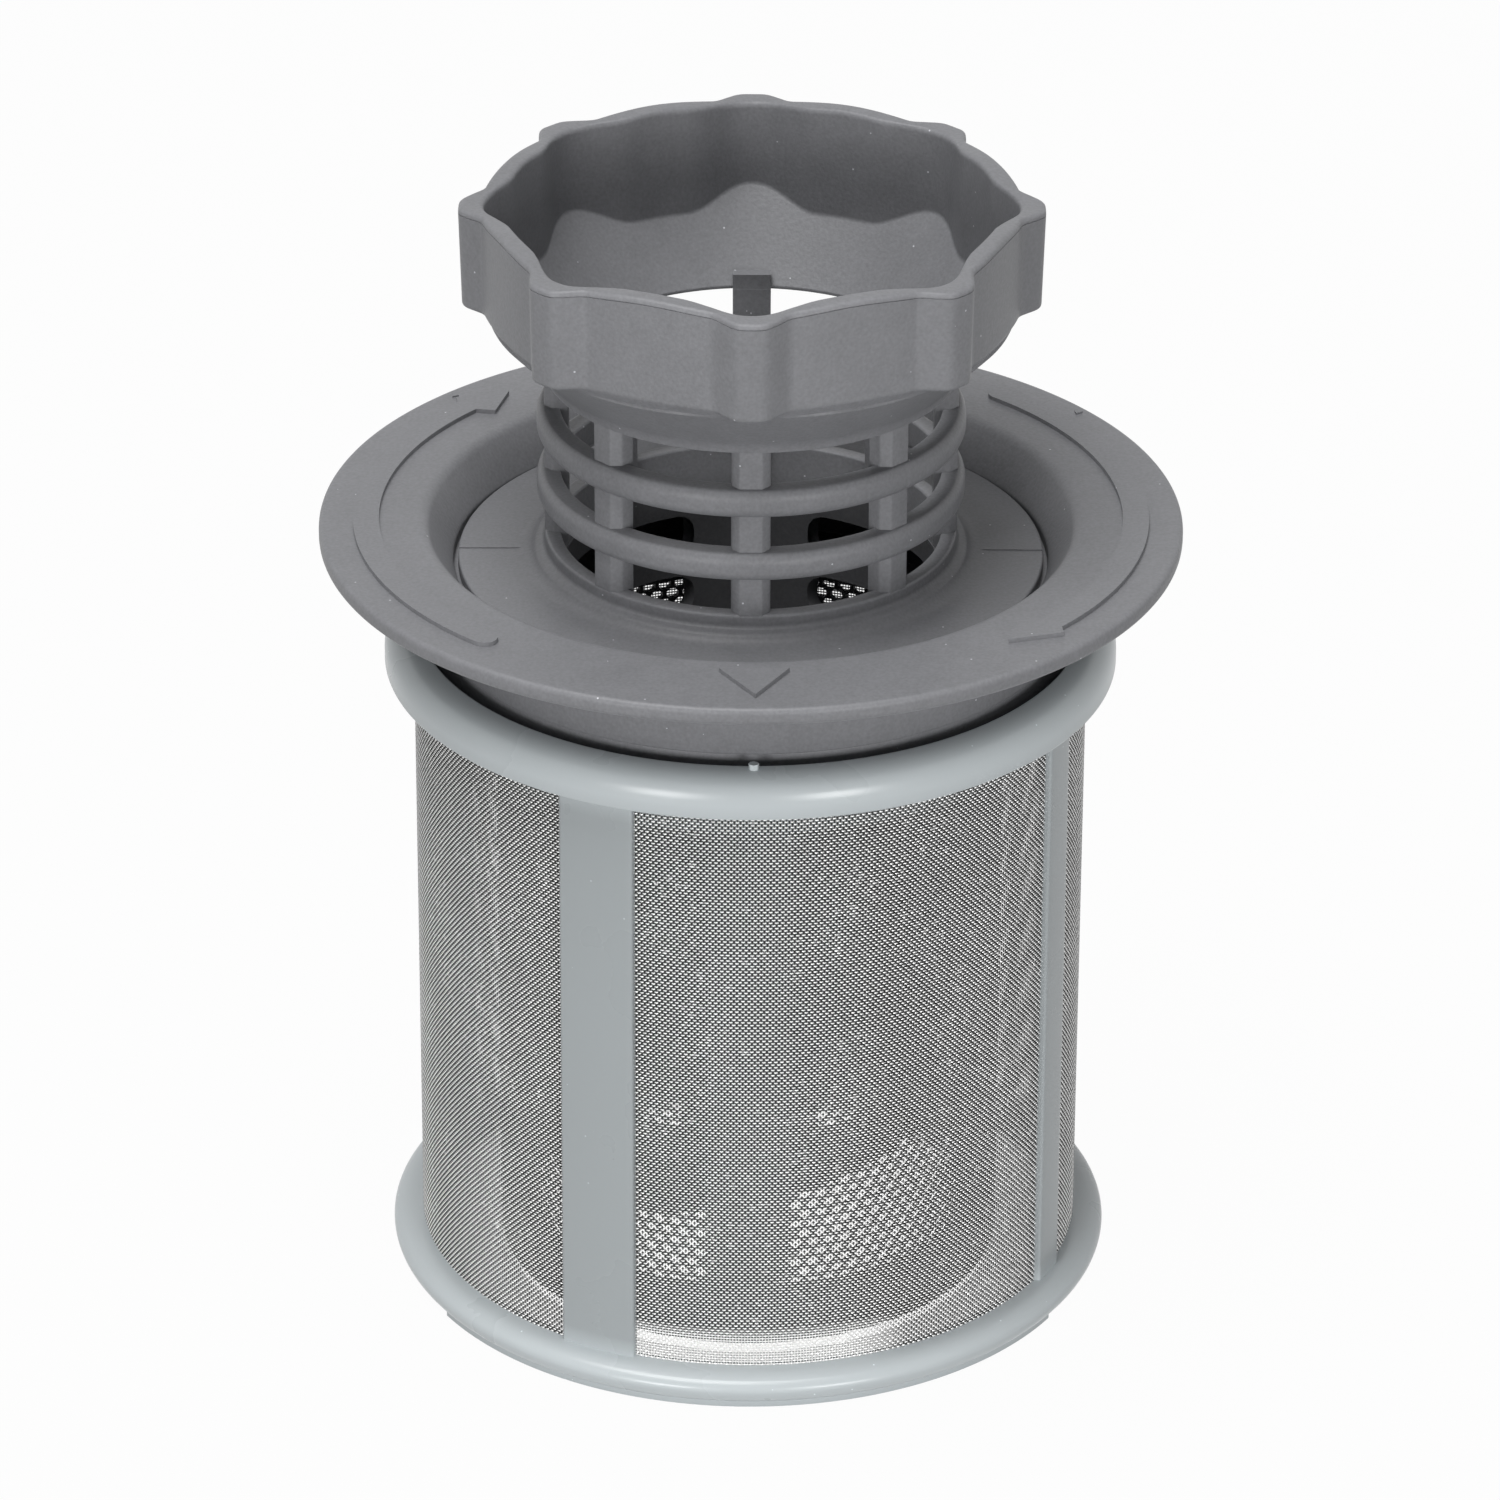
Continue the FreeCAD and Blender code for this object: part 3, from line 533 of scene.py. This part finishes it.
# One cell of the wall: a plate 0.6 mm thick with an eight-sided hole.
edge = [(-0.95, -0.61), (-0.3, -0.61), (0.3, -0.61), (0.95, -0.61),
        (0.95, 0.61), (0.3, 0.61), (-0.3, 0.61), (-0.95, 0.61)]
hole = []
for corner in range(8):
    angle = math.radians(45 * corner - 157.5)
    hole.append((0.77 * math.cos(angle), 0.64 * math.sin(angle)))
cell_points = []
for depth in (0.0, 0.6):
    for across, up in edge + hole:
        cell_points.append((across / 1000, depth / 1000, up / 1000))
cell_faces = []
for k in range(8):
    n = (k + 1) % 8
    cell_faces.append((k, n, 8 + n, 8 + k))
    cell_faces.append((16 + k, 24 + k, 24 + n, 16 + n))
    cell_faces.append((8 + k, 8 + n, 24 + n, 24 + k))
cell = bpy.data.meshes.new("hole_cell")
cell.from_pydata(cell_points, [], cell_faces)

# The tree lays out one flat panel of cells, bends it and sets it on four sides.
punch = Tree("perforation", HOLES)
nodes = punch.nodes
index = nodes.add("GeometryNodeInputIndex")
row = ((index + 0.5) / punch["Columns"]).worked("FLOOR")
column = index - row * punch["Columns"]
odd = row.worked("MODULO", 2.0)
across = (column - 0.5 * (punch["Columns"] - 1.0) + 0.5 * odd - 0.25) * punch["Across"]
up = punch["Foot"] + row * punch["Up"]
spots = nodes.add("GeometryNodePoints", {}, {
    "Count": punch["Columns"] * punch["Rows"], "Position": nodes.joined(x=across, z=up)})
flat = nodes.add("GeometryNodeRealizeInstances", {}, {
    0: nodes.add("GeometryNodeInstanceOnPoints", {}, {"Points": spots, "Instance": punch["Geometry"]})})
x, y, z = nodes.axes(nodes.add("GeometryNodeInputPosition"))
bend = x / punch["Radius"]
reach = punch["Radius"] - y
curved = nodes.joined(reach * bend.worked("SINE"), 0.0 - reach * bend.worked("COSINE"), z)
panel = nodes.add("GeometryNodeSetPosition", {}, {"Geometry": flat, "Position": curved})
sides = nodes.add("GeometryNodePoints", {}, {"Count": punch["Panels"]})
quarter = (nodes.add("GeometryNodeInputIndex") + 0.5) * math.tau / punch["Panels"]
panels = nodes.add("GeometryNodeInstanceOnPoints", {}, {
    "Points": sides, "Instance": panel, "Rotation": nodes.joined(z=quarter)})
punch.close(panels, dark)
basket_wall = punch.run("basket_perforation", cell)
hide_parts("perforated_basket")
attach(basket_wall, "coarse_filter")


# Grip and bowl
# The top of the dark strainer moulding: an eight-lobed grip, hollow inside
# its lobes, that narrows through a smooth bowl into the neck.

def held(value):
    """The value kept between 0 and 1."""
    return min(max(value, 0.0), 1.0)


def lobe_share(angle):
    """1 on the flat of a lobe, 0 on the panel between two lobes, eased at the corners."""
    total = 0.0
    for nudge in (-1.0, -0.5, 0.0, 0.5, 1.0):
        away = abs((math.degrees(angle) + nudge + 22.5) % 45 - 22.5)
        total += held((7.9 - away) / 5.1)
    return total / 5


def corner_share(angle):
    """1 in a corner of the hollow, behind a lobe, and 0 along the side between two corners."""
    away = abs((math.degrees(angle) + 22.5) % 45 - 22.5)
    return 0.5 + 0.5 * math.cos(math.pi * min(away / 16.0, 1.0))


# The outlines of the wall between two lobes and on a lobe. The panels between the lobes are
# slightly hollow, and the rim stands higher over them than over the lobes.
valley = rounded([
    (22.45, 107.35, 0.2), (22.6, 108.3, 1.0), (28.5, 114.3, 1.2), (29.1, 115.2, 0.3), (29.2, 125.45, 0),
    (29.1, 125.5, 0), (29.2, 125.55, 0), (29.2, 126.15, 0.8), (26.5, 126.15, 0.7), (26.3, 114.2, 0.3),
    (20.6, 107.7, 0.1), (20.6, 107.35, 0.1)], 6)
crest = rounded([
    (22.45, 107.35, 0.2), (22.6, 108.3, 1.0), (28.9, 114.7, 0.2), (31.1, 114.75, 0.5), (31.4, 125.45, 0),
    (31.3, 125.5, 0), (31.4, 125.55, 0), (31.4, 126.15, 0.8), (28.6, 126.15, 0.7), (28.5, 116.6, 0.3),
    (20.6, 107.7, 0.1), (20.6, 107.35, 0.1)], 6)
GRIP_SECTORS = 720
PANEL_HOLLOW = 0.5
PANEL_FOOT = 114.0
RIM_DIP = 0.65
RIM_FROM = 122.0
RIM_RUN = 3.4
rings = []
for sector in range(GRIP_SECTORS):
    angle = math.tau * sector / GRIP_SECTORS
    outside = lobe_share(angle)
    inside = corner_share(angle)
    wave = 0.5 - 0.5 * math.cos(8 * angle)
    ring = []
    for (r0, z0), (r1, z1) in zip(valley, crest):
        # Points further in than 29 mm belong more and more to the hollow.
        depth = held((29.0 - r0) / 2.5)
        share = outside + (inside - outside) * depth
        radius = r0 + (r1 - r0) * share - PANEL_HOLLOW * wave * (1.0 - depth) * (z0 > PANEL_FOOT)
        swell = RIM_DIP * wave * held((z0 - RIM_FROM) / RIM_RUN)
        ring.append((radius, z0 + (z1 - z0) * share + swell))
    rings.append(ring)
grip_form = Form()
grip_form.wrap(rings)
grip = grip_form.piece("grip_bowl", dark, crease=28.0)
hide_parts("grip_strainer")
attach(grip, "coarse_filter")


# Cage and disc
# The strainer's middle: eight bars and two proud hoops that leave three rows
# of windows, on a foot that spreads into the flat disc inside the flange.

cage_form = Form()
for low in (92.55, 99.95):
    cage_form.turn(rounded([
        (20.7, low, 0.3), (22.6, low, 0.3), (23.25, low + 0.6, 0.5), (23.25, low + 2.5, 0.6),
        (22.7, low + 3.2, 0.3), (20.7, low + 3.2, 0.3)]), 240)
cage_form.turn(rounded([
    (20.7, 88.35, 0.3), (22.45, 88.35, 0.35), (22.5, 86.9, 0.4), (23.5, 86.5, 0.4), (24.3, 85.45, 1.5),
    (31.9, 85.4, 0.3), (31.9, 83.9, 0.2), (21.9, 83.9, 0.1), (21.9, 82.5, 0), (20.6, 82.5, 0)], 6))
# The parting line of the tool over the disc.
for way in (-1, 1):
    near, far = 24.0 * way, 31.8 * way
    cage_form.rise([(near, -0.09), (far, -0.09), (far, 0.09), (near, 0.09)], 85.2, 85.52)
# A short rib inside the neck at the back.
cage_form.rise(rounded([
    (-2.1, 19.8, 0.2), (2.1, 19.8, 0.2), (2.1, 21.2, 0.2), (-2.1, 21.2, 0.2)], 2), 106.9, 109.3)
cage = cage_form.piece("cage_disc", dark)
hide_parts("grip_strainer")
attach(cage, "coarse_filter")

bar_form = Form()
bar_form.rise(rounded([
    (-1.2, -22.4, 0.15), (1.2, -22.4, 0.15), (2.1, -21.5, 0.2), (2.1, -19.75, 0.25), (-2.1, -19.75, 0.25),
    (-2.1, -21.5, 0.2)], 2), 86.8, 107.6)
one_bar = bar_form.piece("one_bar", dark)
bars = Tree("bar_ring", {"Bars": 8})
nodes = bars.nodes
index = nodes.add("GeometryNodeInputIndex")
spots = nodes.add("GeometryNodePoints", {}, {"Count": bars["Bars"]})
copies = nodes.add("GeometryNodeInstanceOnPoints", {}, {
    "Points": spots, "Instance": bars["Geometry"],
    "Rotation": nodes.joined(z=index * math.tau / bars["Bars"])})
bars.close(copies, dark)
cage_bars = bars.run("cage_bars", one_bar.data)
bpy.data.objects.remove(one_bar)
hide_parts("grip_strainer")
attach(cage_bars, "coarse_filter")


# Inner tube
# The strainer's lower end, held in the disc: a plain tube with rows of rounded
# windows on its four diagonals and a foot cut off on a slant. Its plastic is
# painted much darker, as painted shade for the dim inside of the strainer.

WINDOWS = {"Width": 0.0186, "Height": 0.0047, "Corner": 0.0018, "Rows": 8, "Sides": 4, "Top": 0.0803,
           "Pitch": 0.0074}
BLOCK = 0.014
TUBE_SECTORS = 256
TUBE_INNER = 20.5
TUBE_OUTER = 21.98
TUBE_TOP = 83.5
FOOT_MIDDLE = 15.3
FOOT_RISE = 22.0 * math.tan(math.radians(12.1))

# Painted shade: this tube's plastic is much darker than the other dark mouldings.
shade_dark_tube_plastic = moulded_plastic("tube_moulding_painted_shade", (0.085, 0.086, 0.091), roughness=0.55, clouds=0.16,
                               speckle=0.34, grain=0.60, dusty=1.0)
rings = []
for sector in range(TUBE_SECTORS):
    foot = FOOT_MIDDLE + FOOT_RISE * math.sin(math.tau * sector / TUBE_SECTORS)
    rings.append([(TUBE_INNER, foot), (TUBE_OUTER, foot), (TUBE_OUTER, TUBE_TOP), (TUBE_INNER, TUBE_TOP)])
tube_form = Form()
tube_form.wrap(rings)
plain_tube = tube_form.piece("plain_tube", shade_dark_tube_plastic)
# The tree makes one block for each window, with rounded corners, and cuts them all out.
cut = Tree("tube_windows", WINDOWS)
nodes = cut.nodes
outline = nodes.add("GeometryNodeCurvePrimitiveQuadrilateral", {}, {
    "Width": cut["Width"], "Height": cut["Height"]})
eased = nodes.add("GeometryNodeFilletCurve", {"mode": "POLY"}, {
    "Curve": outline, "Count": 4, "Radius": cut["Corner"]})
face = nodes.add("GeometryNodeFillCurve", {"mode": "NGONS"}, {"Curve": eased})
thick = nodes.add("GeometryNodeExtrudeMesh", {}, {
    "Mesh": face, "Offset": (0.0, 0.0, 1.0), "Offset Scale": BLOCK})
both = nodes.add("GeometryNodeJoinGeometry")
for shape in (nodes.add("GeometryNodeFlipFaces", {}, {0: face}), thick):
    nodes.tree.links.new(shape.output, both.output.node.inputs[0])
welded = nodes.add("GeometryNodeMergeByDistance", {}, {"Geometry": both, "Distance": 0.00001})
upright = nodes.add("GeometryNodeTransform", {}, {
    "Geometry": welded, "Translation": (0.0, -BLOCK, 0.0), "Rotation": (math.pi / 2, 0.0, 0.0)})
index = nodes.add("GeometryNodeInputIndex")
row = ((index + 0.5) / cut["Sides"]).worked("FLOOR")
side = index - row * cut["Sides"]
level = cut["Top"] - 0.5 * cut["Height"] - row * cut["Pitch"]
spots = nodes.add("GeometryNodePoints", {}, {
    "Count": cut["Rows"] * cut["Sides"], "Position": nodes.joined(z=level)})
blocks = nodes.add("GeometryNodeInstanceOnPoints", {}, {
    "Points": spots, "Instance": upright,
    "Rotation": nodes.joined(z=(side + 0.5) * math.tau / cut["Sides"])})
opened = nodes.add("GeometryNodeMeshBoolean", {"operation": "DIFFERENCE"}, {
    0: cut["Geometry"], 1: nodes.add("GeometryNodeRealizeInstances", {}, {0: blocks})})
cut.close(opened, shade_dark_tube_plastic)
windowed_tube = cut.run("windowed_tube", plain_tube.data)
bpy.data.objects.remove(plain_tube)
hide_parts("inner_tube")
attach(windowed_tube, "coarse_filter")


# Floor, light and camera
# A plain pale table with a soft box above, a weaker one on either side of
# the camera and an even white room, seen from a little above.

def looking(nodes):
    """1 for rays that look, straight or by a mirror or glass, and 0 for rays that only light."""
    rays = nodes.add("ShaderNodeLightPath").output.node
    names = ("Is Camera Ray", "Is Glossy Ray", "Is Transmission Ray")
    straight, glossy, through = (Socket(nodes, rays.outputs[name]) for name in names)
    return straight.worked("MAXIMUM", glossy).worked("MAXIMUM", through)


material, nodes = new_material("pale_table")
plain = nodes.add("ShaderNodeBsdfDiffuse", {}, {"Color": (0.42, 0.42, 0.42, 1)})
white = nodes.add("ShaderNodeEmission", {}, {"Color": (1, 1, 1, 1), "Strength": 1.0})
x, y, _ = nodes.axes(nodes.add("ShaderNodeTexCoord", output="Object"))
reach = (x * x + y * y).worked("SQRT")
# Between the basket and the cloth the table lies in the filter's own shade, except at the front.
in_shade = (reach < 0.0365) * (reach > 0.0275) * y.ramp(-0.034, -0.029)
whiteness = looking(nodes) * (0.97 - 0.60 * in_shade)
both = nodes.add("ShaderNodeMixShader", {}, {0: whiteness, 1: plain, 2: white})
nodes.add("ShaderNodeOutputMaterial", {}, {"Surface": both})
table_mesh = bpy.data.meshes.new("table")
table_mesh.from_pydata([(-6, -6, -0.00005), (6, -6, -0.00005), (6, 6, -0.00005), (-6, 6, -0.00005)], [],
                       [(0, 1, 2, 3)])
table_mesh.materials.append(material)
table = bpy.data.objects.new("table", table_mesh)
bpy.context.scene.collection.objects.link(table)

room = bpy.data.worlds.new("white_room")
room.use_nodes = True
room.node_tree.nodes.clear()
nodes = Nodes(room.node_tree)
sky = nodes.add("ShaderNodeBackground", {}, {
    "Color": (1, 1, 1, 1), "Strength": 0.14 + 0.86 * looking(nodes)})
nodes.add("ShaderNodeOutputWorld", {}, {"Surface": sky})
bpy.context.scene.world = room

AIM_HEIGHT = 0.07
for name, place, size, power in (("soft_box_above", (-0.15, -0.17, 1.05), 0.6, 10.3),
                                 ("soft_box_left", (-0.50, -1.06, 0.14), 0.34, 5.6),
                                 ("soft_box_right", (0.50, -1.06, 0.14), 0.34, 5.8)):
    lamp = bpy.data.lights.new(name, "AREA")
    lamp.shape = "SQUARE"
    lamp.size = size
    lamp.energy = power
    holder = bpy.data.objects.new(name, lamp)
    holder.location = place
    direction = holder.location.copy()
    direction.z -= AIM_HEIGHT
    holder.rotation_euler = direction.to_track_quat("Z", "Y").to_euler()
    bpy.context.scene.collection.objects.link(holder)

# The lens and the camera's place come from fitting the photo, which is 1500 pixels wide.
PHOTO_WIDTH = 1500
FOCAL_PIXELS = 8013
LOOK_DOWN = 27.14
ROLL = 0.226
lens = bpy.data.cameras.new("camera")
lens.sensor_width = 36.0
lens.lens = lens.sensor_width * FOCAL_PIXELS / PHOTO_WIDTH
lens.clip_start = 0.01
camera = bpy.data.objects.new("camera", lens)
camera.location = (0.0, -0.7878, 0.4646)
tilt = Matrix.Rotation(math.radians(90 - LOOK_DOWN), 3, "X") @ Matrix.Rotation(math.radians(ROLL), 3, "Z")
camera.rotation_euler = tilt.to_euler()
bpy.context.scene.collection.objects.link(camera)
bpy.context.scene.camera = camera
bpy.context.scene.view_settings.view_transform = "Standard"
